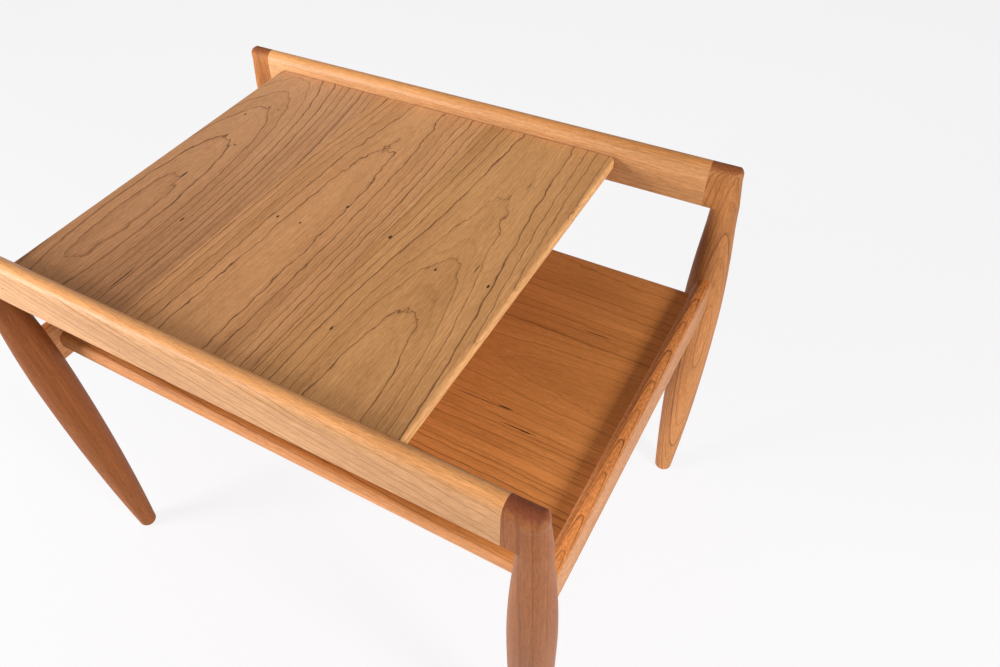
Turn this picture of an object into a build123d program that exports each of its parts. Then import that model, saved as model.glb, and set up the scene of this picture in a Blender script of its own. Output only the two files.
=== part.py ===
"""Low cherry wood stand for photo albums.

Four turned legs carry two raised long rails. A short top panel lies between the rails and leaves an open
slot at the right-hand end. Two end rails join the legs lower down and hold a full-length shelf.
"""

import os

from build123d import *

os.makedirs("parts", exist_ok=True)

# Frame: X runs along the long rails, Y from front to back, Z up from the floor. Lengths in millimetres.

# Overall stand
stand_height = 480.0  # floor to the crown of the long rails
stand_depth = 430.0  # front face of the front rail to back face of the back rail
leg_spacing = 570.0  # between leg axes, along the rails

# Long rails
rail_length = 530.0  # between the two butt joints with the legs
rail_thickness = 23.5  # at the underside
rail_crown_thickness = 19.5  # where the sloping faces run into the rounded crown
rail_height = 43.0
rail_crown_height = 12.5
rail_arris = 1.0

# Turned legs
foot_radius = 10.1
foot_rounding = 4.0
belly_radius = 20.4
belly_height = 280.0  # widest point, above the floor
waist_radius = 15.1
waist_drop = 80.0  # below the crown of the rails
collar_radius = 13.0  # just under the block that meets the rail
neck_straightness = 0.3  # degrees of turn below which the neck between waist and collar is straight
cove_radius = 4.0  # hollow between the block and the round shaft
leg_end_rounding = 7.0

# Top panel, glued up from boards whose grain runs from rail to rail
panel_thickness = 11.0
panel_drop = 15.0  # below the crown of the rails
panel_length = 418.5
panel_left_inset = 22.0  # from the left-hand leg joints
panel_rail_gap = 0.8  # at the panel's underside
panel_boards = ("top_board_left", "top_board_middle", "top_board_right")
panel_right_top_rounding = 4.5
panel_right_under_rounding = 3.0
panel_corner_rounding = 6.0
panel_arris = 1.0

# Bearers under the top panel
bearer_width = 30.0
bearer_height = 16.0
bearer_inset = 58.0  # panel edge to bearer centre line
bearer_tenon_length = 8.0
bearer_tenon_width = 20.0
bearer_tenon_height = 8.0

# Screws up through the bearers into the panel
screws_per_bearer = 3
screw_spacing = 120.0
screw_shank_diameter = 4.0
screw_tip_length = 3.0
screw_bite = 7.0  # length inside the panel
screw_head_diameter = 8.0
screw_head_height = 2.6
screw_recess_depth = 4.0  # counterbore in the bearer
screw_recess_clearance = 0.75
screw_hole_clearance = 0.25
screw_pilot_clearance = 0.05
screw_drive_width = 1.2
screw_drive_length = 4.4
screw_drive_depth = 1.3
panel_movement = 3.0  # slot travel each way at the right-hand bearer

# Shelf, glued up from boards whose grain runs along the stand
album_bay_height = 113.0  # shelf top to panel underside
shelf_thickness = 21.0
shelf_depth = 359.0
shelf_boards = ("shelf_board_front", "shelf_board_middle", "shelf_board_back")
shelf_edge_rounding = 8.0
shelf_tongue_thickness = 8.0
shelf_tongue_length = 6.0
shelf_tongue_setback = 14.0  # from the shelf's long edges
tongue_clearance = 0.1

# End rails
end_rail_thickness = 16.0
end_rail_height = 43.0
end_rail_lip = 13.0  # above the shelf
end_rail_inner_rounding = 9.0
end_rail_outer_rounding = 4.0
end_rail_arris = 1.5
end_rail_shoulder = 15.5  # leg axis to the housed end of the rail

# Loose tenons
rail_tenon_thickness = 8.0
rail_tenon_height = 26.0
rail_tenon_depth = 13.0  # into each piece
end_rail_tenon_thickness = 6.0
end_rail_tenon_height = 26.0
end_rail_tenon_depth = 12.0  # into each piece
tenon_clearance = 0.1
tenon_end_clearance = 0.5

# Places worked out from the sizes above
leg_axis_x = leg_spacing / 2
leg_axis_y = stand_depth / 2 - rail_thickness / 2
rail_outer_y = stand_depth / 2
rail_inner_y = stand_depth / 2 - rail_thickness
rail_joint_x = rail_length / 2
rail_underside = stand_height - rail_height
rail_tenon_level = rail_underside + rail_height / 2
rail_crown_level = stand_height - rail_crown_height
rail_crown_inner_y = leg_axis_y - rail_crown_thickness / 2
rail_crown_outer_y = leg_axis_y + rail_crown_thickness / 2
rail_face_slope = (rail_crown_inner_y - rail_inner_y) / (rail_crown_level - rail_underside)
neck_radius = rail_crown_thickness / 2
waist_level = stand_height - waist_drop

panel_top = stand_height - panel_drop
panel_underside = panel_top - panel_thickness
panel_left = -rail_joint_x + panel_left_inset
panel_right = panel_left + panel_length
panel_rail_y = rail_inner_y + rail_face_slope * (panel_underside - rail_underside)
panel_depth = 2 * (panel_rail_y - panel_rail_gap)
panel_board_width = panel_length / len(panel_boards)

bearer_underside = panel_underside - bearer_height
bearer_shoulder_y = rail_inner_y + rail_face_slope * (bearer_underside - rail_underside)
bearer_tenon_level = panel_underside - bearer_height / 2
bearer_left_x = panel_left + bearer_inset
bearer_right_x = panel_right - bearer_inset
screw_seat = bearer_underside + screw_recess_depth
screw_rows = [(row - (screws_per_bearer - 1) / 2) * screw_spacing for row in range(screws_per_bearer)]
screw_tip_level = panel_underside + screw_bite

shelf_top = panel_underside - album_bay_height
shelf_underside = shelf_top - shelf_thickness
shelf_middle = shelf_top - shelf_thickness / 2
shelf_end_x = leg_axis_x - end_rail_thickness / 2
shelf_board_width = shelf_depth / len(shelf_boards)
shelf_tongue_reach = shelf_depth / 2 - shelf_tongue_setback
end_rail_top = shelf_top + end_rail_lip
end_rail_underside = end_rail_top - end_rail_height
end_rail_tenon_level = end_rail_underside + end_rail_height / 2
end_rail_end_y = leg_axis_y - end_rail_shoulder


def save(piece, name):
    """Label one finished piece and write it to its own file."""
    piece.label = name
    export_step(piece, f"parts/{name}.step")


def rail_crown():
    """Draw the rounded crown of the back rail."""
    EllipticalCenterArc(
        (leg_axis_y, rail_crown_level),
        rail_crown_thickness / 2,
        rail_crown_height,
        start_angle=0,
        arc_size=180,
    )


def rail_section(plane):
    """Section across the back rail, on a plane square to X."""
    with BuildSketch(plane) as section:
        with BuildLine():
            rail_crown()
            Polyline(
                (rail_crown_inner_y, rail_crown_level),
                (rail_inner_y, rail_underside),
                (rail_outer_y, rail_underside),
                (rail_crown_outer_y, rail_crown_level),
            )
        make_face()
        fillet(section.vertices().group_by(Axis.Y)[0], rail_arris)
    return section.sketch


def leg_envelope(plane):
    """Outline that trims the top of a turned leg to the rail's crown and leaves the shaft below it whole."""
    front = leg_axis_y - 2 * belly_radius
    back = leg_axis_y + 2 * belly_radius
    with BuildSketch(plane) as envelope:
        with BuildLine():
            rail_crown()
            Polyline(
                (rail_crown_inner_y, rail_crown_level),
                (front, rail_crown_level),
                (front, 0),
                (back, 0),
                (back, rail_crown_level),
                (rail_crown_outer_y, rail_crown_level),
            )
        make_face()
    return envelope.sketch


def end_rail_section(plane):
    """Section across the right-hand end rail, on a plane square to Y."""
    inner = leg_axis_x - end_rail_thickness / 2
    outer = leg_axis_x + end_rail_thickness / 2
    with BuildSketch(plane) as section:
        with BuildLine():
            Polyline(
                (inner, end_rail_underside),
                (outer, end_rail_underside),
                (outer, end_rail_top),
                (inner, end_rail_top),
                close=True,
            )
        make_face()
        fillet(section.vertices().sort_by_distance((inner, end_rail_top))[0], end_rail_inner_rounding)
        fillet(section.vertices().sort_by_distance((outer, end_rail_top))[0], end_rail_outer_rounding)
        fillet(section.vertices().group_by(Axis.Y)[0], end_rail_arris)
    return section.sketch


def tenon_outline(plane, places, height, thickness):
    """Round-ended upright tenon outlines on one plane."""
    with BuildSketch(plane) as outline:
        with Locations(*places):
            SlotOverall(height, thickness, rotation=90)
    return outline.sketch


def rail_mortise(plane, places):
    """Mortise outlines for the loose tenons between rails and legs."""
    height = rail_tenon_height + 2 * tenon_clearance
    thickness = rail_tenon_thickness + 2 * tenon_clearance
    return tenon_outline(plane, places, height, thickness)


def end_rail_mortise(plane, places):
    """Mortise outlines for the loose tenons between end rails and legs."""
    height = end_rail_tenon_height + 2 * tenon_clearance
    thickness = end_rail_tenon_thickness + 2 * tenon_clearance
    return tenon_outline(plane, places, height, thickness)


def build_cove():
    """Hollow moulding that eases the back right leg's block into its round shaft."""
    cove_outer = collar_radius + cove_radius
    core_radius = collar_radius - cove_radius
    block_level = rail_underside + cove_radius
    with BuildPart() as cove:
        with BuildSketch(Plane.XZ.offset(-leg_axis_y)):
            with BuildLine():
                TangentArc(
                    (leg_axis_x - cove_outer, rail_underside),
                    (leg_axis_x - collar_radius, rail_underside - cove_radius),
                    tangent=(1, 0),
                )
                Polyline(
                    (leg_axis_x - collar_radius, rail_underside - cove_radius),
                    (leg_axis_x - core_radius, rail_underside - cove_radius),
                    (leg_axis_x - core_radius, block_level),
                    (leg_axis_x - cove_outer, block_level),
                    (leg_axis_x - cove_outer, rail_underside),
                )
            make_face()
        revolve(axis=Axis((leg_axis_x, leg_axis_y, 0), (0, 0, 1)))
        with BuildSketch(Plane.XY.offset(rail_underside - cove_radius)):
            with Locations((leg_axis_x, leg_axis_y)):
                Rectangle(cove_outer, rail_thickness - 2 * rail_arris, align=(Align.MAX, Align.CENTER))
        extrude(amount=2 * cove_radius, mode=Mode.INTERSECT)
    return cove.part


def build_leg(along, across):
    """One turned leg. along is -1 at the left and 1 at the right, across is -1 in front and 1 at the back."""
    cove = build_cove()
    with BuildPart() as leg:
        # Turned shaft
        with BuildSketch(Plane.XZ.offset(-leg_axis_y)) as profile:
            belly = (leg_axis_x + belly_radius, belly_height)
            waist = (leg_axis_x + waist_radius, waist_level)
            collar = (leg_axis_x + collar_radius, rail_underside)
            foot = (leg_axis_x + foot_radius, 0)
            with BuildLine():
                TangentArc(belly, foot, tangent=(0, -1))
                swell = TangentArc(belly, waist, tangent=(0, 1))
                neck = Line(waist, collar, mode=Mode.PRIVATE)
                if (swell % 1).get_angle(neck % 0) > neck_straightness:
                    neck = TangentArc(waist, collar, tangent=swell % 1, mode=Mode.PRIVATE)
                add(neck)
                Polyline(
                    collar,
                    (leg_axis_x + neck_radius, rail_crown_level),
                    (leg_axis_x + neck_radius, stand_height - leg_end_rounding),
                )
                TangentArc(
                    (leg_axis_x + neck_radius, stand_height - leg_end_rounding),
                    (leg_axis_x + neck_radius - leg_end_rounding, stand_height),
                    tangent=(0, 1),
                )
                Polyline(
                    (leg_axis_x + neck_radius - leg_end_rounding, stand_height),
                    (leg_axis_x, stand_height),
                    (leg_axis_x, 0),
                    foot,
                )
            make_face()
            fillet(profile.vertices().sort_by_distance(foot)[0], foot_rounding)
        revolve(axis=Axis((leg_axis_x, leg_axis_y, 0), (0, 0, 1)))
        envelope = leg_envelope(Plane.YZ.offset(leg_axis_x))
        extrude(envelope, amount=2 * belly_radius, both=True, mode=Mode.INTERSECT)

        # Block that carries the rail's section on to the leg, with its cove
        extrude(rail_section(Plane.YZ.offset(rail_joint_x)), amount=leg_axis_x - rail_joint_x)
        add(cove)

        # Mortise for the long rail's tenon
        rail_pocket = rail_mortise(Plane.YZ.offset(rail_joint_x), [(leg_axis_y, rail_tenon_level)])
        extrude(rail_pocket, amount=rail_tenon_depth + tenon_end_clearance, mode=Mode.SUBTRACT)

        # Housing and mortise for the end rail
        housing_plane = Plane.XZ.offset(-end_rail_end_y)
        extrude(end_rail_section(housing_plane), amount=2 * belly_radius, mode=Mode.SUBTRACT)
        end_pocket = end_rail_mortise(housing_plane, [(leg_axis_x, end_rail_tenon_level)])
        extrude(end_pocket, amount=-(end_rail_tenon_depth + tenon_end_clearance), mode=Mode.SUBTRACT)

        if along < 0:
            mirror(about=Plane.YZ, mode=Mode.REPLACE)
        if across < 0:
            mirror(about=Plane.XZ, mode=Mode.REPLACE)
    return leg.part


def build_rail(across):
    """One long rail, -1 for the front and 1 for the back."""
    with BuildPart() as rail:
        extrude(rail_section(Plane.YZ), amount=rail_joint_x, both=True)
        for end in (-1, 1):
            pocket = rail_mortise(Plane.YZ.offset(end * rail_joint_x), [(leg_axis_y, rail_tenon_level)])
            extrude(pocket, amount=-end * (rail_tenon_depth + tenon_end_clearance), mode=Mode.SUBTRACT)
        with BuildSketch(Plane.XZ.offset(-rail_inner_y)):
            with Locations((bearer_left_x, bearer_tenon_level), (bearer_right_x, bearer_tenon_level)):
                Rectangle(bearer_tenon_width + 2 * tenon_clearance, bearer_tenon_height + 2 * tenon_clearance)
        extrude(amount=-(bearer_tenon_length + tenon_end_clearance), mode=Mode.SUBTRACT)
        if across < 0:
            mirror(about=Plane.XZ, mode=Mode.REPLACE)
    return rail.part


def build_end_rail(along):
    """One end rail, -1 for the left and 1 for the right."""
    with BuildPart() as rail:
        extrude(end_rail_section(Plane.XZ), amount=end_rail_end_y, both=True)
        for end in (-1, 1):
            end_plane = Plane.XZ.offset(-end * end_rail_end_y)
            pocket = end_rail_mortise(end_plane, [(leg_axis_x, end_rail_tenon_level)])
            extrude(pocket, amount=end * (end_rail_tenon_depth + tenon_end_clearance), mode=Mode.SUBTRACT)
        with BuildSketch(Plane.YZ.offset(shelf_end_x)):
            with Locations((0, shelf_middle)):
                Rectangle(
                    2 * (shelf_tongue_reach + tongue_clearance),
                    shelf_tongue_thickness + 2 * tongue_clearance,
                )
        extrude(amount=shelf_tongue_length + tenon_end_clearance, mode=Mode.SUBTRACT)
        if along < 0:
            mirror(about=Plane.YZ, mode=Mode.REPLACE)
    return rail.part


def build_top_board(place):
    """One board of the top panel, counted from the left."""
    left = panel_left + place * panel_board_width
    right = left + panel_board_width
    is_first = place == 0
    is_last = place == len(panel_boards) - 1
    pilots = [(x, y) for x in (bearer_left_x, bearer_right_x) for y in screw_rows if left < x < right]
    with BuildPart() as board:
        with BuildSketch(Plane.XZ) as profile:
            with Locations((left, panel_underside)):
                Rectangle(panel_board_width, panel_thickness, align=Align.MIN)
            if is_first:
                fillet(profile.vertices().group_by(Axis.X)[0], panel_arris)
            if is_last:
                right_corners = profile.vertices().group_by(Axis.X)[-1].sort_by(Axis.Y)
                fillet(right_corners[0], panel_right_under_rounding)
                fillet(profile.vertices().sort_by_distance((right, panel_top))[0], panel_right_top_rounding)
        extrude(amount=panel_depth / 2, both=True)
        if is_last:
            with BuildSketch(Plane.XY.offset(panel_underside)) as plan:
                with Locations((left, 0)):
                    Rectangle(panel_board_width, panel_depth, align=(Align.MIN, Align.CENTER))
                fillet(plan.vertices().group_by(Axis.X)[-1], panel_corner_rounding)
            extrude(amount=panel_thickness, mode=Mode.INTERSECT)
        if pilots:
            with BuildSketch(Plane.XY.offset(panel_underside)):
                with Locations(*pilots):
                    Circle(screw_shank_diameter / 2 + screw_pilot_clearance)
            extrude(amount=screw_bite + screw_pilot_clearance, mode=Mode.SUBTRACT)
    return board.part


def build_bearer(centre_x, movement):
    """One bearer under the top panel, tenoned into both rails. movement lengthens its screw holes along X."""
    hole_width = screw_shank_diameter + 2 * screw_hole_clearance
    recess_width = screw_head_diameter + 2 * screw_recess_clearance
    places = [(centre_x, y) for y in screw_rows]
    with BuildPart() as bearer:
        with BuildSketch(Plane.XY.offset(bearer_underside)):
            with Locations((centre_x, 0)):
                Rectangle(bearer_width, 2 * bearer_shoulder_y)
        extrude(amount=bearer_height)
        with BuildSketch(Plane.XZ):
            with Locations((centre_x, bearer_tenon_level)):
                Rectangle(bearer_tenon_width, bearer_tenon_height)
        extrude(amount=rail_inner_y + bearer_tenon_length, both=True)
        with BuildSketch(Plane.XY.offset(bearer_underside)):
            with Locations(*places):
                if movement:
                    SlotCenterToCenter(2 * movement, hole_width)
                else:
                    Circle(hole_width / 2)
        extrude(amount=bearer_height, mode=Mode.SUBTRACT)
        with BuildSketch(Plane.XY.offset(bearer_underside)):
            with Locations(*places):
                if movement:
                    SlotCenterToCenter(2 * movement, recess_width)
                else:
                    Circle(recess_width / 2)
        extrude(amount=screw_recess_depth, mode=Mode.SUBTRACT)
    return bearer.part


def build_shelf_board(place):
    """One board of the shelf, counted from the front."""
    front = -shelf_depth / 2 + place * shelf_board_width
    back = front + shelf_board_width
    tongue_front = max(front, -shelf_tongue_reach)
    tongue_back = min(back, shelf_tongue_reach)
    with BuildPart() as board:
        with BuildSketch(Plane.YZ) as profile:
            with Locations((front, shelf_underside)):
                Rectangle(shelf_board_width, shelf_thickness, align=Align.MIN)
            if place == 0:
                fillet(profile.vertices().group_by(Axis.X)[0], shelf_edge_rounding)
            if place == len(shelf_boards) - 1:
                fillet(profile.vertices().group_by(Axis.X)[-1], shelf_edge_rounding)
        extrude(amount=shelf_end_x, both=True)
        with BuildSketch(Plane.YZ):
            with Locations(((tongue_front + tongue_back) / 2, shelf_middle)):
                Rectangle(tongue_back - tongue_front, shelf_tongue_thickness)
        extrude(amount=shelf_end_x + shelf_tongue_length, both=True)
    return board.part


# Legs and long rails
save(build_leg(-1, -1), "leg_front_left")
save(build_leg(1, -1), "leg_front_right")
save(build_leg(-1, 1), "leg_back_left")
save(build_leg(1, 1), "leg_back_right")
save(build_rail(-1), "rail_front")
save(build_rail(1), "rail_back")

# End rails
save(build_end_rail(-1), "end_rail_left")
save(build_end_rail(1), "end_rail_right")

# Top panel and its bearers
for place, name in enumerate(panel_boards):
    save(build_top_board(place), name)
save(build_bearer(bearer_left_x, 0), "top_bearer_left")
save(build_bearer(bearer_right_x, panel_movement), "top_bearer_right")

# Shelf
for place, name in enumerate(shelf_boards):
    save(build_shelf_board(place), name)

# Loose tenons between the long rails and the legs
with BuildPart() as rail_tenons:
    for end in (-1, 1):
        rail_joints = [(-leg_axis_y, rail_tenon_level), (leg_axis_y, rail_tenon_level)]
        joint_plane = Plane.YZ.offset(end * rail_joint_x)
        slips = tenon_outline(joint_plane, rail_joints, rail_tenon_height, rail_tenon_thickness)
        extrude(slips, amount=rail_tenon_depth, both=True)
save(rail_tenons.part, "rail_tenons")

# Loose tenons between the end rails and the legs
with BuildPart() as end_rail_tenons:
    for end in (-1, 1):
        end_joints = [(-leg_axis_x, end_rail_tenon_level), (leg_axis_x, end_rail_tenon_level)]
        joint_plane = Plane.XZ.offset(end * end_rail_end_y)
        slips = tenon_outline(joint_plane, end_joints, end_rail_tenon_height, end_rail_tenon_thickness)
        extrude(slips, amount=end_rail_tenon_depth, both=True)
save(end_rail_tenons.part, "end_rail_tenons")

# Screws that hold the top panel down on its bearers
screw_places = [(x, y) for x in (bearer_left_x, bearer_right_x) for y in screw_rows]
with BuildPart() as top_screws:
    with BuildSketch(Plane.XY.offset(screw_seat)):
        with Locations(*screw_places):
            Circle(screw_head_diameter / 2)
    extrude(amount=-screw_head_height)
    with BuildSketch(Plane.XY.offset(screw_seat)):
        with Locations(*screw_places):
            Circle(screw_shank_diameter / 2)
    extrude(amount=screw_tip_level - screw_tip_length - screw_seat)
    with Locations(*[(x, y, screw_tip_level - screw_tip_length) for x, y in screw_places]):
        Cone(
            screw_shank_diameter / 2,
            screw_drive_width / 4,
            screw_tip_length,
            align=(Align.CENTER, Align.CENTER, Align.MIN),
        )
    with BuildSketch(Plane.XY.offset(screw_seat - screw_head_height)):
        with Locations(*screw_places):
            Rectangle(screw_drive_length, screw_drive_width)
            Rectangle(screw_drive_width, screw_drive_length)
    extrude(amount=screw_drive_depth, mode=Mode.SUBTRACT)
save(top_screws.part, "top_screws")
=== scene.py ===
"""Looks of the photo album stand: oiled cherry, zinc screws, a pale studio and the camera."""

import math
from dataclasses import dataclass

import bpy
from mathutils import Color, Matrix, Vector


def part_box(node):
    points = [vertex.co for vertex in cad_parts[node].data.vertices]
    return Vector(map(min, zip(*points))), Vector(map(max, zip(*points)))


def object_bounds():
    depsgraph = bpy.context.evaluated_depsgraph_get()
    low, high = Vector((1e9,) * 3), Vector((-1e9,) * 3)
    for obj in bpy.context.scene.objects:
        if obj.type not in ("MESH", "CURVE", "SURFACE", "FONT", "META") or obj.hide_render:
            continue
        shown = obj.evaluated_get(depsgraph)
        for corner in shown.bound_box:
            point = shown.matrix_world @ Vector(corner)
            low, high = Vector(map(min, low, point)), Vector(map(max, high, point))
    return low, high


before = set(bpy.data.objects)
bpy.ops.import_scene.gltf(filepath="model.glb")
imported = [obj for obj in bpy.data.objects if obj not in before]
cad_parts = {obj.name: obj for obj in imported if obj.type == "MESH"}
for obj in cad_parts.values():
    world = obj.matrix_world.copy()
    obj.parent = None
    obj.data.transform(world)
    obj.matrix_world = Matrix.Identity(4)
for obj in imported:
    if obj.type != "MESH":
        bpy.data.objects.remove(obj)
cad_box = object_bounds()

MILLIMETRES = 1000.0  # in a metre
AXES = "XYZ"
NOISE_MIDDLE = 0.5  # of Blender's noise, which runs from 0 to 1
MIX_COLOURS = (6, 7)  # inputs of the Mix node for its two colours
MIX_RESULT = 2  # output of the Mix node for the mixed colour


class Wire:
    """One number on its way through the nodes, with the usual arithmetic."""

    def __init__(self, graph, socket):
        self.graph = graph
        self.socket = socket

    def __add__(self, other):
        return self.graph.math("ADD", self, other)

    def __sub__(self, other):
        return self.graph.math("SUBTRACT", self, other)

    def __mul__(self, other):
        return self.graph.math("MULTIPLY", self, other)

    def __truediv__(self, other):
        return self.graph.math("DIVIDE", self, other)

    def __pow__(self, other):
        return self.graph.math("POWER", self, other)

    def root(self):
        return self.graph.math("SQRT", self)

    def floor(self):
        return self.graph.math("FLOOR", self)

    def fraction(self):
        return self.graph.math("FRACT", self)

    def size(self):
        return self.graph.math("ABSOLUTE", self)

    def turn(self):
        return self.graph.math("ARCTANGENT", self)

    def clamped(self):
        return self.graph.math("ADD", self, 0.0, clamp=True)


class Graph:
    """The nodes of one material or world, added and wired by short calls."""

    def __init__(self, holder):
        self.holder = holder
        holder.use_nodes = True
        self.tree = holder.node_tree
        self.tree.nodes.clear()

    def feed(self, socket, value):
        if isinstance(value, Wire):
            value = value.socket
        if isinstance(value, bpy.types.NodeSocket):
            self.tree.links.new(value, socket)
        else:
            socket.default_value = value

    def node(self, kind, feeds=None, **settings):
        node = self.tree.nodes.new(kind)
        for setting, value in settings.items():
            setattr(node, setting, value)
        for socket, value in (feeds or {}).items():
            self.feed(node.inputs[socket], value)
        return node

    def math(self, operation, *values, clamp=False):
        node = self.node("ShaderNodeMath", operation=operation, use_clamp=clamp)
        for socket, value in zip(node.inputs, values):
            self.feed(socket, value)
        return Wire(self, node.outputs[0])

    def vector(self, *parts):
        node = self.node("ShaderNodeCombineXYZ")
        for socket, value in zip(node.inputs, parts):
            self.feed(socket, value)
        return node.outputs[0]

    def parts(self, vector):
        node = self.node("ShaderNodeSeparateXYZ", {"Vector": vector})
        return [Wire(self, output) for output in node.outputs]

    def noise(self, vector, detail=2.0, roughness=0.5):
        """Smooth noise about zero, with features about one unit wide."""
        feeds = {"Vector": vector, "Scale": 1.0, "Detail": detail, "Roughness": roughness}
        node = self.node("ShaderNodeTexNoise", feeds, noise_dimensions="3D")
        return Wire(self, node.outputs["Fac"]) - NOISE_MIDDLE

    def noise_along(self, place):
        """Smooth noise about zero along one number."""
        feeds = {"W": place, "Scale": 1.0, "Detail": 1.0}
        node = self.node("ShaderNodeTexNoise", feeds, noise_dimensions="1D")
        return Wire(self, node.outputs["Fac"]) - NOISE_MIDDLE

    def random(self, place):
        """One random number from 0 to 1 for each whole number."""
        node = self.node("ShaderNodeTexWhiteNoise", {"W": place}, noise_dimensions="1D")
        return Wire(self, node.outputs["Value"])

    def curve(self, factor, stops):
        """Number read off a curve through (place, value) stops."""
        node = self.node("ShaderNodeValToRGB", {"Fac": factor})
        elements = node.color_ramp.elements
        while len(elements) < len(stops):
            elements.new(1.0)
        for element, (place, value) in zip(elements, stops):
            element.position = place
            element.color = (value, value, value, 1.0)
        return Wire(self, node.outputs["Color"])

    def blend(self, factor, first, second, mode="MIX"):
        """Colour between two colours, or one multiplied by the other."""
        node = self.node("ShaderNodeMix", {"Factor": factor}, data_type="RGBA", blend_type=mode)
        for socket, value in zip(MIX_COLOURS, (first, second)):
            self.feed(node.inputs[socket], value)
        return node.outputs[MIX_RESULT]

    def millimetres(self, origin=(0.0, 0.0, 0.0)):
        """Place on the surface, in millimetres from a point of the frame."""
        place = self.node("ShaderNodeTexCoord").outputs["Object"]
        shifted = self.node("ShaderNodeVectorMath", {0: place, 1: origin}, operation="SUBTRACT")
        feeds = {0: shifted.outputs[0], "Scale": MILLIMETRES}
        return self.node("ShaderNodeVectorMath", feeds, operation="SCALE").outputs[0]

    def surface(self, shader):
        is_world = isinstance(self.holder, bpy.types.World)
        kind = "ShaderNodeOutputWorld" if is_world else "ShaderNodeOutputMaterial"
        self.node(kind, {"Surface": shader.outputs[0]})


def linear(red, green, blue):
    """Shader colour from screen levels of 0 to 255."""
    colour = Color((red / 255, green / 255, blue / 255))
    return (*colour.from_srgb_to_scene_linear(), 1.0)


def coat(name, graph):
    """Give a whole piece one material."""
    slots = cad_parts[name].data.materials
    slots.clear()
    slots.append(graph.holder)


# Features of cherry: length along the grain and width across it, in millimetres
SWAY_SIZE = (150.0, 40.0)
RIPPLE_SIZE = (24.0, 11.0)
TREMOR_SIZE = (8.0, 3.0)
PATCH_SIZE = (140.0, 22.0)
LINE_PATCH_SIZE = (60.0, 20.0)
STREAK_SIZE = (70.0, 1.8)
FLECK_SIZE = (9.0, 1.2)
FIBRE_SIZE = (26.0, 0.7)
PORE_SIZE = (3.2, 0.3)
CURL_SIZE = (3.6, 2.4)

# Curves of (place, value): the dark edge of a ring, sharp outwards and fading inwards by SHADE_REACH,
# a fine line between two edges, a pore, the turn of a surface towards end grain and towards the sides
# of the piece, and a gum mark
SHADE_REACH = 5.0  # millimetres
OUTER_EDGE = ((0.0, 1.0), (0.1, 0.8), (0.18, 0.0), (1.0, 0.0))
INNER_EDGE = ((0.0, 1.0), (0.05, 0.55), (0.11, 0.22), (0.35, 0.08), (1.0, 0.0))
FINE_EDGE = ((0.0, 1.0), (0.15, 0.0), (0.7, 0.0), (1.0, 1.0))
PORE_EDGE = ((0.0, 1.0), (0.3, 1.0), (0.4, 0.0), (1.0, 0.0))
END_GRAIN = ((0.0, 0.0), (0.5, 0.0), (0.8, 1.0), (1.0, 1.0))
SIDE_GRAIN = ((0.0, 0.0), (0.45, 0.0), (0.9, 1.0), (1.0, 1.0))
GUM_EDGE = ((0.0, 0.95), (0.4, 0.8), (1.0, 0.0))

# Growth rings
RING_SPREAD = 0.7  # pace, in waves per ring, of the noise that crowds and spreads the rings
WAVE_SLOPE = 0.04  # of the rings against the surface, from the waves in them alone
FAINTEST_EDGE = 0.4  # as a share of the strongest
FINE_LINES = 3.0  # fine lines in each ring
FINE_SHADE = 0.35
SIDE_CALM = 0.7  # share by which ring edges fade on the sides of a piece

# Share by which each feature lightens or darkens the wood
PATCH_SHADE = 0.36
RING_SHADE = 0.1
FLECK_SHADE = 0.65
FIBRE_SHADE = 0.55
PORE_SHADE = 0.2
GREEN_SHADE = 1.2  # powers of a shade, against 1 for red: dark wood is also redder
BLUE_SHADE = 1.45
GUM_COLOUR = linear(40, 22, 16)

# Relief under the oil, and what the features add to the roughness
FIBRE_RELIEF = 0.5
PORE_RELIEF = 0.6
EDGE_RELIEF = 0.35
RELIEF_STRENGTH = 0.25
RELIEF_DEPTH = 0.0004  # metres
FIBRE_ROUGHNESS = 0.2
PORE_ROUGHNESS = 0.12
END_ROUGHNESS = 0.1

NOISE_STEP = 17.0  # between the places of two noises in one piece
SECOND_DRAW = 0.5  # shift of a ring's number for a second random draw


@dataclass
class Figure:
    """How the growth rings of a piece lie, in millimetres from the middle of its best face.

    The pith lies pith_across to the side and pith_depth below that face, or above it where the depth
    is negative. Along the grain it drifts to the side and sinks by tilt, by a bow about bow_centre and
    by a rise that settles reach away from its knee. One ring ends at the radius first_ring. sway,
    ripple and tremor are the heights of long, short and fine waves in the rings.
    """

    ring: float = 6.0
    first_ring: float = 60.0
    pith_across: float = 0.0
    pith_depth: float = 60.0
    drift: float = 0.0
    tilt: float = 0.0
    bow: float = 0.0
    bow_centre: float = 0.0
    rise: float = 0.0
    knee: float = 0.0
    reach: float = 100.0
    sway: float = 3.0
    ripple: float = 2.6
    tremor: float = 0.35


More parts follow.
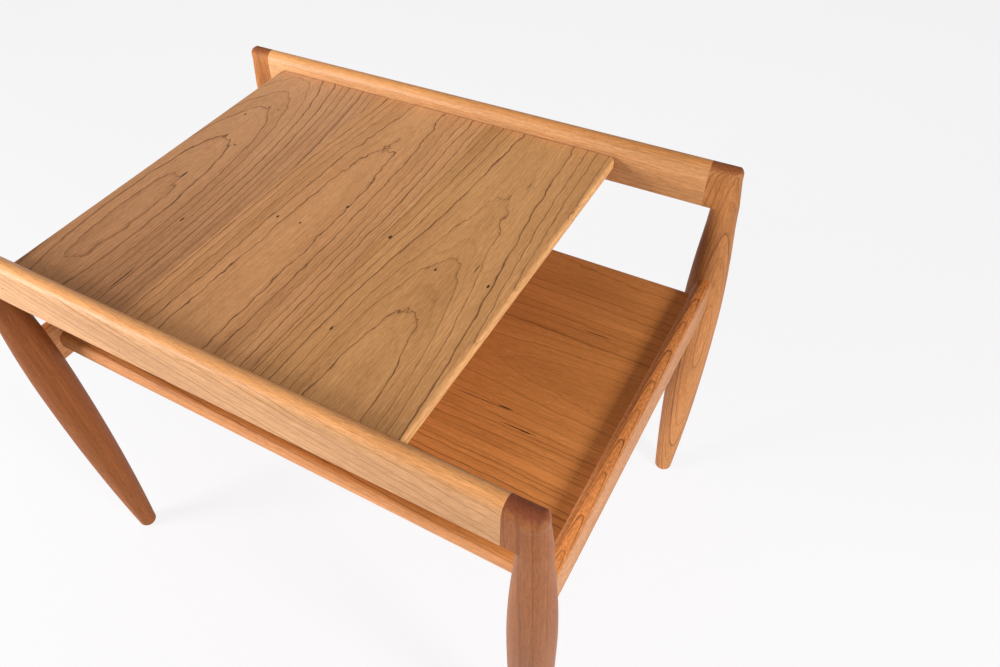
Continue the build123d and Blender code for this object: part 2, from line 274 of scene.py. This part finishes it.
class Timber:
    """The place of a surface point in one piece of wood, and noise that follows its grain."""

    def __init__(self, graph, name, grain, face, seed):
        low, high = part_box(name)
        origin = (low + high) / 2
        outward = -1.0 if face.startswith("-") else 1.0
        grain_axis = AXES.index(grain)
        face_axis = AXES.index(face[-1])
        across_axis = sum(range(len(AXES))) - grain_axis - face_axis
        origin[face_axis] = high[face_axis] if outward > 0 else low[face_axis]
        places = graph.parts(graph.millimetres(origin))
        self.graph = graph
        self.seed = seed
        self.shift = seed
        self.along = places[grain_axis]
        self.across = places[across_axis]
        self.height = places[face_axis] * outward
        normals = graph.parts(graph.node("ShaderNodeTexCoord").outputs["Normal"])
        self.normal_across = normals[across_axis]
        self.normal_out = normals[face_axis] * outward
        self.end_grain = graph.curve(normals[grain_axis].size(), END_GRAIN)

    def noise(self, size, detail=2.0, roughness=0.5):
        length, width = size
        self.shift += NOISE_STEP
        parts = (self.along / length, self.across / width, self.height / width)
        place = self.graph.vector(*[part + self.shift for part in parts])
        return self.graph.noise(place, detail, roughness)

    def rings(self, figure):
        """Growth rings counted from the pith, and the width of one ring where it meets the surface."""
        depth = self.height + self.along * figure.tilt + figure.pith_depth
        sinking = figure.tilt
        if figure.bow:
            past_bow = self.along - figure.bow_centre
            depth = depth + past_bow * past_bow * figure.bow
            sinking = past_bow * (2.0 * figure.bow) + sinking
        if figure.rise:
            past_knee = (self.along - figure.knee) / figure.reach
            depth = depth + past_knee.turn() * figure.rise
            sinking = (past_knee * past_knee + 1.0) ** -1.0 * (figure.rise / figure.reach) + sinking
        side = self.across - figure.pith_across - self.along * figure.drift
        radius = (side * side + depth * depth).root()
        facing = (side * self.normal_across + depth * self.normal_out) / radius
        slope = (facing * facing * -1.0 + sinking * sinking + 1.0 + WAVE_SLOPE**2).root()
        radius = radius + self.noise(SWAY_SIZE) * figure.sway
        radius = radius + self.noise(RIPPLE_SIZE) * figure.ripple
        radius = radius + self.noise(TREMOR_SIZE) * figure.tremor
        rings = (radius - figure.first_ring) / figure.ring
        rings = rings + self.graph.noise_along(rings * RING_SPREAD + self.seed)
        return rings, self.graph.math("DIVIDE", figure.ring, slope)

    def ring_edges(self, rings, ring_width, lines):
        """Dark ring edges, stronger on some rings than on others."""
        graph = self.graph
        strength = graph.random(rings.floor() + self.seed) * (1.0 - FAINTEST_EDGE) + FAINTEST_EDGE
        patchy = self.noise(LINE_PATCH_SIZE) + 1.0
        past_edge = rings.fraction()
        before_edge = past_edge * -1.0 + 1.0
        outer = graph.curve(past_edge * ring_width / SHADE_REACH, OUTER_EDGE)
        inner = graph.curve(before_edge * ring_width / SHADE_REACH, INNER_EDGE)
        return (graph.math("MAXIMUM", outer, inner) * strength * patchy * lines).clamped()

    def fine_edges(self, rings, strength):
        """Fine lines between the ring edges."""
        fine_rings = rings * FINE_LINES
        fine_strength = self.graph.random(fine_rings.floor() + self.seed) * strength
        return self.graph.curve(fine_rings.fraction(), FINE_EDGE) * fine_strength

    def shades(self, rings, streaks):
        """Light and dark about zero: slow patches, a tone for each ring, streaks and flecks."""
        draw = self.graph.random(rings.floor() + self.seed + SECOND_DRAW)
        ring_tone = (draw - NOISE_MIDDLE) * RING_SHADE
        level = self.noise(PATCH_SIZE) * PATCH_SHADE + ring_tone + self.noise(STREAK_SIZE) * streaks
        return level + self.noise(FLECK_SIZE, detail=3.0, roughness=0.65) * FLECK_SHADE


def warm_shade(graph, tone, level):
    """A tone made lighter or darker, where dark wood is also redder."""
    shade = graph.vector(level, level**GREEN_SHADE, level**BLUE_SHADE)
    return graph.blend(1.0, tone, shade, mode="MULTIPLY")


def add_gum(timber, colour, gum):
    """Small dark marks of gum on a face."""
    graph = timber.graph
    for gum_along, gum_across, half_length, half_width in gum:
        lengthwise = (timber.along - gum_along) / half_length
        sideways = (timber.across - gum_across) / half_width
        mark = graph.curve(lengthwise * lengthwise + sideways * sideways, GUM_EDGE)
        colour = graph.blend(mark, colour, GUM_COLOUR)
    return colour


def cherry(
    name,
    grain,
    face,
    tone,
    line_tone,
    figure,
    lines=0.75,
    painted_side_tone=None,
    end_tone=None,
    curl=0.0,
    painted_light_ramp=0.0,
    gum=(),
    streaks=0.42,
    gloss=0.12,
    roughness=0.52,
    seed=0.0,
):
    """Oiled cherry for one piece.

    grain is the axis that the grain runs along and face the signed axis out of the best face. tone is
    the colour of the wood and line_tone of its ring edges. painted_side_tone is painted light and shade
    on the sides, where given: a copy of the tone, lighter on some pieces and darker on others, by how
    light falls on the sides. end_tone is the colour of end grain, where given. lines is the strength of
    the ring edges, streaks of the streaks and fine lines between them and curl of a mottled sheen.
    painted_light_ramp is painted light and shade along the grain: it lightens the wood for each
    millimetre, towards where more light falls. gum lists marks by place along, place across, half
    length and half width. gloss and roughness are those of the oil, and seed sets the piece's own noise.
    """
    graph = Graph(bpy.data.materials.new(name + "_cherry"))
    timber = Timber(graph, name, grain, face, seed)
    rings, ring_width = timber.rings(figure)
    edge = timber.ring_edges(rings, ring_width, lines)
    fine_edge = timber.fine_edges(rings, lines * streaks * FINE_SHADE)

    # Light and dark of the wood
    fibres = timber.noise(FIBRE_SIZE, detail=3.0, roughness=0.7)
    pores = graph.curve(timber.noise(PORE_SIZE, detail=1.0) + NOISE_MIDDLE, PORE_EDGE)
    level = timber.shades(rings, streaks) + fibres * FIBRE_SHADE
    level = level + 1.0 - pores * PORE_SHADE - fine_edge
    if curl:
        level = level + timber.noise(CURL_SIZE, detail=3.0) * curl
    # Painted light and shade: the wood grows lighter along the grain towards where more light falls
    if painted_light_ramp:
        level = level + timber.along * painted_light_ramp

    # Colour, with painted light and shade on the sides, lighter on some pieces and darker on others by
    # how light falls there, calmer ring edges there, and end grain that drinks more oil and darkens
    if painted_side_tone:
        side = graph.curve(timber.normal_across.size(), SIDE_GRAIN)
        tone = graph.blend(side, tone, painted_side_tone)
        edge = edge * (side * -SIDE_CALM + 1.0)
    colour = graph.blend(edge, warm_shade(graph, tone, level), line_tone)
    if end_tone:
        colour = graph.blend(timber.end_grain, colour, warm_shade(graph, end_tone, level))
    colour = add_gum(timber, colour, gum)

    # Satin oil finish over fine relief
    relief = fibres * FIBRE_RELIEF - pores * PORE_RELIEF - edge * EDGE_RELIEF
    feeds = {"Height": relief, "Strength": RELIEF_STRENGTH, "Distance": RELIEF_DEPTH}
    bump = graph.node("ShaderNodeBump", feeds)
    rough = fibres * FIBRE_ROUGHNESS + pores * PORE_ROUGHNESS + timber.end_grain * END_ROUGHNESS
    feeds = {
        "Base Color": colour,
        "Roughness": rough + roughness,
        "Specular IOR Level": gloss,
        "Normal": bump.outputs[0],
    }
    graph.surface(graph.node("ShaderNodeBsdfPrincipled", feeds))
    coat(name, graph)


ZINC_DULL = linear(168, 168, 164)
ZINC_BRIGHT = linear(205, 204, 198)
ZINC_ROUGHNESS = 0.36
ZINC_BLOTCHES = 0.2  # change of roughness from blotch to blotch


def zinc(name):
    """Zinc plate for the small screws, slightly blotched."""
    graph = Graph(bpy.data.materials.new(name + "_zinc"))
    blotches = graph.noise(graph.millimetres(), detail=3.0)
    feeds = {
        "Base Color": graph.blend(blotches + NOISE_MIDDLE, ZINC_DULL, ZINC_BRIGHT),
        "Metallic": 1.0,
        "Roughness": blotches * ZINC_BLOTCHES + ZINC_ROUGHNESS,
    }
    graph.surface(graph.node("ShaderNodeBsdfPrincipled", feeds))
    coat(name, graph)


# Top panel: three boards with tall arches of grain and small gum marks
TOP = {
    "grain": "Y",
    "face": "Z",
    "line_tone": linear(98, 57, 32),
    "gloss": 0.16,
    "roughness": 0.6,
    "lines": 0.95,
}
cherry(
    "top_board_left",
    **TOP,
    tone=linear(194, 139, 95),
    # Painted shade: the board is darker towards the front, by the front rail
    painted_light_ramp=0.0013,
    figure=Figure(
        pith_across=-32.0, pith_depth=59.0, first_ring=61.0, drift=-0.03, bow=0.00034, bow_centre=-90.0
    ),
    gum=(
        (120, -29, 2.2, 1.2),
        (120, -17, 1.8, 1.0),
        (97, -45, 2.0, 1.1),
        (45, -14, 2.2, 1.1),
        (-19, -25, 7.0, 1.4),
        (-74, 26, 4.0, 1.3),
        (-160, 37, 20.0, 0.9),
    ),
    seed=1.0,
)
cherry(
    "top_board_middle",
    **TOP,
    tone=linear(203, 145, 95),
    # Painted shade: the board is darker towards the front, by the front rail
    painted_light_ramp=0.0006,
    figure=Figure(
        pith_across=-4.0, first_ring=60.1, rise=3.5, knee=110.0, reach=55.0, ripple=4.0, tremor=0.2
    ),
    gum=((11, 17, 2.6, 1.6), (-30, -34, 2.6, 1.5), (-28, -9, 2.0, 1.2)),
    seed=2.0,
)
cherry(
    "top_board_right",
    **TOP,
    tone=linear(199, 143, 90),
    # Painted light on the side edges, paler where the right lamp falls, and painted shade towards the
    # front
    painted_side_tone=linear(218, 162, 106),
    painted_light_ramp=0.0003,
    figure=Figure(
        pith_across=3.0, pith_depth=69.9, first_ring=66.5, drift=-0.024, rise=8.8, knee=-40.0, reach=98.0
    ),
    gum=(
        (114, 15, 8.0, 0.5),
        (-8, -62, 3.2, 1.9),
        (-10, 28, 7.0, 0.6),
        (-25, 47, 2.8, 1.5),
        (-27, -3, 2.2, 1.4),
        (-124, -41, 3.0, 1.2),
    ),
    seed=3.0,
)

# Shelf: three boards with long straight grain and a few gum streaks
SHELF = {
    "grain": "X",
    "face": "Z",
    "tone": linear(186, 115, 58),
    # Painted light on the front and back edges, paler than the shaded top, and painted shade darker
    # towards the left, under the top panel
    "painted_side_tone": linear(206, 141, 90),
    "line_tone": linear(112, 62, 28),
    "painted_light_ramp": 0.0005,
}
cherry(
    "shelf_board_front",
    **SHELF,
    figure=Figure(ring=5.5, pith_across=-90.0, pith_depth=70.0, tilt=0.03),
    lines=0.85,
    gum=((199, 58.8, 20.0, 0.6), (206, 58.6, 7.0, 0.9)),
    seed=4.0,
)
cherry(
    "shelf_board_middle",
    **SHELF,
    figure=Figure(ring=7.0, pith_across=8.0, pith_depth=60.0, tilt=-0.05, sway=5.0),
    lines=0.5,
    gum=((152, -46.5, 36.0, 0.5), (178, -45, 9.0, 1.0)),
    seed=5.0,
)
cherry(
    "shelf_board_back",
    **SHELF,
    figure=Figure(ring=8.0, pith_across=60.0, pith_depth=70.0, tilt=-0.03, sway=5.0),
    lines=0.6,
    gum=((216, -42, 17.0, 0.6),),
    seed=6.0,
)

# Long rails: pale wood, with slanting grain on the front one
RAIL = {
    "grain": "X",
    "face": "-Y",
    "line_tone": linear(140, 88, 50),
    "gloss": 0.15,
    "roughness": 0.38,
    "streaks": 0.2,
}
cherry(
    "rail_front",
    **RAIL,
    tone=linear(200, 149, 103),
    # Painted light: a paler crown, and the rail lighter towards the left lamp
    painted_side_tone=linear(229, 161, 100),
    painted_light_ramp=-0.0004,
    figure=Figure(ring=5.0, pith_across=120.0, pith_depth=150.0, drift=-0.17, sway=4.0, ripple=3.0),
    lines=0.9,
    gum=((-235, -2.6, 1.0, 0.8), (-90, -10.3, 1.0, 0.8)),
    seed=7.0,
)
cherry(
    "rail_back",
    **RAIL,
    tone=linear(206, 151, 102),
    # Painted shade on the crown, darker than the face, and painted light towards the left lamp
    painted_side_tone=linear(210, 144, 84),
    painted_light_ramp=-0.0008,
    figure=Figure(ring=3.5, pith_across=120.0, pith_depth=110.0, drift=-0.03, sway=2.0),
    lines=0.4,
    seed=8.0,
)

# End rails: long narrow arches on the crown, from a pith above it, and a mottled curl
END_RAIL = {
    "grain": "Y",
    "face": "Z",
    "tone": linear(212, 132, 71),
    # Painted light: paler inner and outer sides, as on the side lit from the right, and the rail lighter
    # towards the front
    "painted_side_tone": linear(196, 137, 91),
    "line_tone": linear(110, 58, 29),
    "painted_light_ramp": -0.0005,
    "figure": Figure(
        ring=1.2, pith_across=2.5, pith_depth=-30.0, tilt=-0.03, sway=0.4, ripple=0.12, tremor=0.03
    ),
    "lines": 1.0,
    "curl": 0.9,
}
cherry("end_rail_left", **END_RAIL, seed=9.0)
cherry("end_rail_right", **END_RAIL, seed=10.0)

# Legs: each from its own plank, with dark end grain on top
LEG = {"grain": "Z", "face": "-Y"}
cherry(
    "leg_front_right",
    **LEG,
    tone=linear(145, 88, 50),
    line_tone=linear(98, 54, 32),
    end_tone=linear(126, 66, 40),
    figure=Figure(ring=9.0, first_ring=92.2, pith_across=70.0, sway=2.0, ripple=1.0),
    lines=0.5,
    gloss=0.14,
    roughness=0.45,
    seed=11.0,
)
cherry(
    "leg_front_left",
    **LEG,
    tone=linear(140, 81, 41),
    line_tone=linear(100, 50, 26),
    end_tone=linear(112, 58, 36),
    # Painted shade: the leg is darker towards the top, under the rails
    painted_light_ramp=-0.0007,
    figure=Figure(ring=5.0, pith_across=24.0, pith_depth=98.0, sway=2.0),
    lines=0.25,
    seed=12.0,
)
cherry(
    "leg_back_right",
    **LEG,
    tone=linear(187, 126, 75),
    line_tone=linear(122, 74, 42),
    end_tone=linear(150, 88, 52),
    # Painted shade: the leg is darker towards the top, under the rails
    painted_light_ramp=-0.0008,
    figure=Figure(ring=2.4, pith_across=-50.0, pith_depth=91.0, sway=1.0, ripple=0.5, tremor=0.1),
    lines=1.0,
    seed=13.0,
)
cherry(
    "leg_back_left",
    **LEG,
    tone=linear(180, 114, 61),
    line_tone=linear(120, 70, 38),
    end_tone=linear(150, 88, 52),
    figure=Figure(ring=4.0, pith_across=40.0, sway=2.0),
    lines=0.45,
    seed=14.0,
)

# Bearers, tenons and screws, which hold the stand together out of sight
HIDDEN = {
    "tone": linear(196, 138, 88),
    "line_tone": linear(146, 92, 52),
    "figure": Figure(ring=4.0),
    "lines": 0.5,
}
cherry("top_bearer_left", grain="Y", face="-Z", **HIDDEN, seed=15.0)
cherry("top_bearer_right", grain="Y", face="-Z", **HIDDEN, seed=16.0)
cherry("rail_tenons", grain="X", face="-Y", **HIDDEN, seed=17.0)
cherry("end_rail_tenons", grain="Y", face="Z", **HIDDEN, seed=18.0)
zinc("top_screws")

# Studio: a round white floor that rises into a low backdrop, under soft lights. Sizes are in metres
FLOOR_RADIUS = 4.0
FLOOR_CENTRE = 0.001  # radius of the innermost ring of the floor
COVE_RADIUS = 1.5
BACKDROP_HEIGHT = 5.0
COVE_STEPS = 12
ROUND_STEPS = 96
FLOOR_COLOUR = linear(250, 249, 250)
FLOOR_GLOW = 0.89  # share of the floor's own white that the camera sees, against light and shadow
WHITE = (1.0, 1.0, 1.0, 1.0)
AMBIENT = 0.2
CENTRE = (cad_box[0] + cad_box[1]) / 2


def studio_white():
    """White to the camera, straight or in gloss and glass, that still takes shadows."""
    graph = Graph(bpy.data.materials.new("studio_white"))
    path = graph.node("ShaderNodeLightPath")
    rays = ("Is Camera Ray", "Is Glossy Ray", "Is Transmission Ray")
    camera_ray, glossy_ray, glass_ray = [Wire(graph, path.outputs[ray]) for ray in rays]
    glow_share = (camera_ray + glossy_ray + glass_ray).clamped() * FLOOR_GLOW
    diffuse = graph.node("ShaderNodeBsdfDiffuse", {"Color": FLOOR_COLOUR})
    glow = graph.node("ShaderNodeEmission", {"Color": FLOOR_COLOUR, "Strength": 1.0})
    feeds = {0: glow_share, 1: diffuse.outputs[0], 2: glow.outputs[0]}
    graph.surface(graph.node("ShaderNodeMixShader", feeds))
    return graph.holder


def add_turned(name, profile, material):
    """Stage piece turned round the upright axis from (radius, height) points."""
    vertices = []
    faces = []
    for step in range(ROUND_STEPS):
        angle = math.tau * step / ROUND_STEPS
        cosine = math.cos(angle)
        sine = math.sin(angle)
        vertices += [(radius * cosine, radius * sine, height) for radius, height in profile]
    count = len(profile)
    for step in range(ROUND_STEPS):
        here = step * count
        there = (step + 1) % ROUND_STEPS * count
        faces += [(here + i, there + i, there + i + 1, here + i + 1) for i in range(count - 1)]
    mesh = bpy.data.meshes.new(name)
    mesh.from_pydata(vertices, [], faces)
    mesh.shade_smooth()
    mesh.materials.append(material)
    piece = bpy.data.objects.new(name, mesh)
    bpy.context.scene.collection.objects.link(piece)
    return piece


def add_studio():
    """Floor, backdrop and an even ambient light."""
    white = studio_white()
    add_turned("studio_floor", [(FLOOR_CENTRE, 0.0), (FLOOR_RADIUS, 0.0)], white)
    turns = [math.pi / 2 * step / COVE_STEPS for step in range(COVE_STEPS + 1)]
    cove = [(FLOOR_RADIUS + COVE_RADIUS * math.sin(t), COVE_RADIUS * (1 - math.cos(t))) for t in turns]
    backdrop_top = (FLOOR_RADIUS + COVE_RADIUS, BACKDROP_HEIGHT)
    backdrop = add_turned("studio_backdrop", [*cove, backdrop_top], white)
    backdrop.visible_diffuse = False
    backdrop.visible_shadow = False
    world = bpy.data.worlds.new("studio_world")
    bpy.context.scene.world = world
    graph = Graph(world)
    graph.surface(graph.node("ShaderNodeBackground", {"Color": WHITE, "Strength": AMBIENT}))


def add_softbox(name, azimuth, elevation, level, size, distance):
    """Square soft light. level is how bright it alone makes a white card that faces it."""
    turn = math.radians(azimuth)
    climb = math.radians(elevation)
    reach = math.cos(climb)
    towards = Vector((math.sin(turn) * reach, -math.cos(turn) * reach, math.sin(climb)))
    lamp = bpy.data.lights.new(name, "AREA")
    lamp.size = size
    lamp.energy = level * math.pi**2 * distance**2
    holder = bpy.data.objects.new(name, lamp)
    holder.location = CENTRE + towards * distance
    holder.rotation_euler = towards.to_track_quat("Z", "Y").to_euler()
    bpy.context.scene.collection.objects.link(holder)


add_studio()
add_softbox("softbox_left", azimuth=-46.0, elevation=20.0, level=1.05, size=0.8, distance=2.4)
add_softbox("softbox_above", azimuth=-110.0, elevation=68.0, level=0.12, size=1.4, distance=2.2)
add_softbox("softbox_right", azimuth=75.0, elevation=26.0, level=0.74, size=0.45, distance=2.0)

# Camera: place in metres, turns in degrees, lens and sensor in millimetres
CAMERA_PLACE = Vector((0.3895, -0.431, 0.9026))
CAMERA_YAW = 33.687
CAMERA_PITCH = 46.926  # below the level
CAMERA_ROLL = -4.630
CAMERA_LENS = 27.899
CAMERA_SENSOR = 36.0
CAMERA_SHIFT = (0.0416, 0.0087)  # the photograph is a crop, so its middle lies off the lens axis

camera = bpy.data.cameras.new("camera")
camera.sensor_width = CAMERA_SENSOR
camera.sensor_fit = "HORIZONTAL"
camera.lens = CAMERA_LENS
camera.shift_x, camera.shift_y = CAMERA_SHIFT
camera_holder = bpy.data.objects.new("camera", camera)
aim = Matrix.Rotation(math.radians(CAMERA_YAW), 4, "Z")
aim = aim @ Matrix.Rotation(math.radians(90.0 - CAMERA_PITCH), 4, "X")
aim = aim @ Matrix.Rotation(math.radians(CAMERA_ROLL), 4, "Z")
camera_holder.matrix_world = Matrix.Translation(CAMERA_PLACE) @ aim
bpy.context.scene.collection.objects.link(camera_holder)
bpy.context.scene.camera = camera_holder
bpy.context.scene.view_settings.view_transform = "Standard"
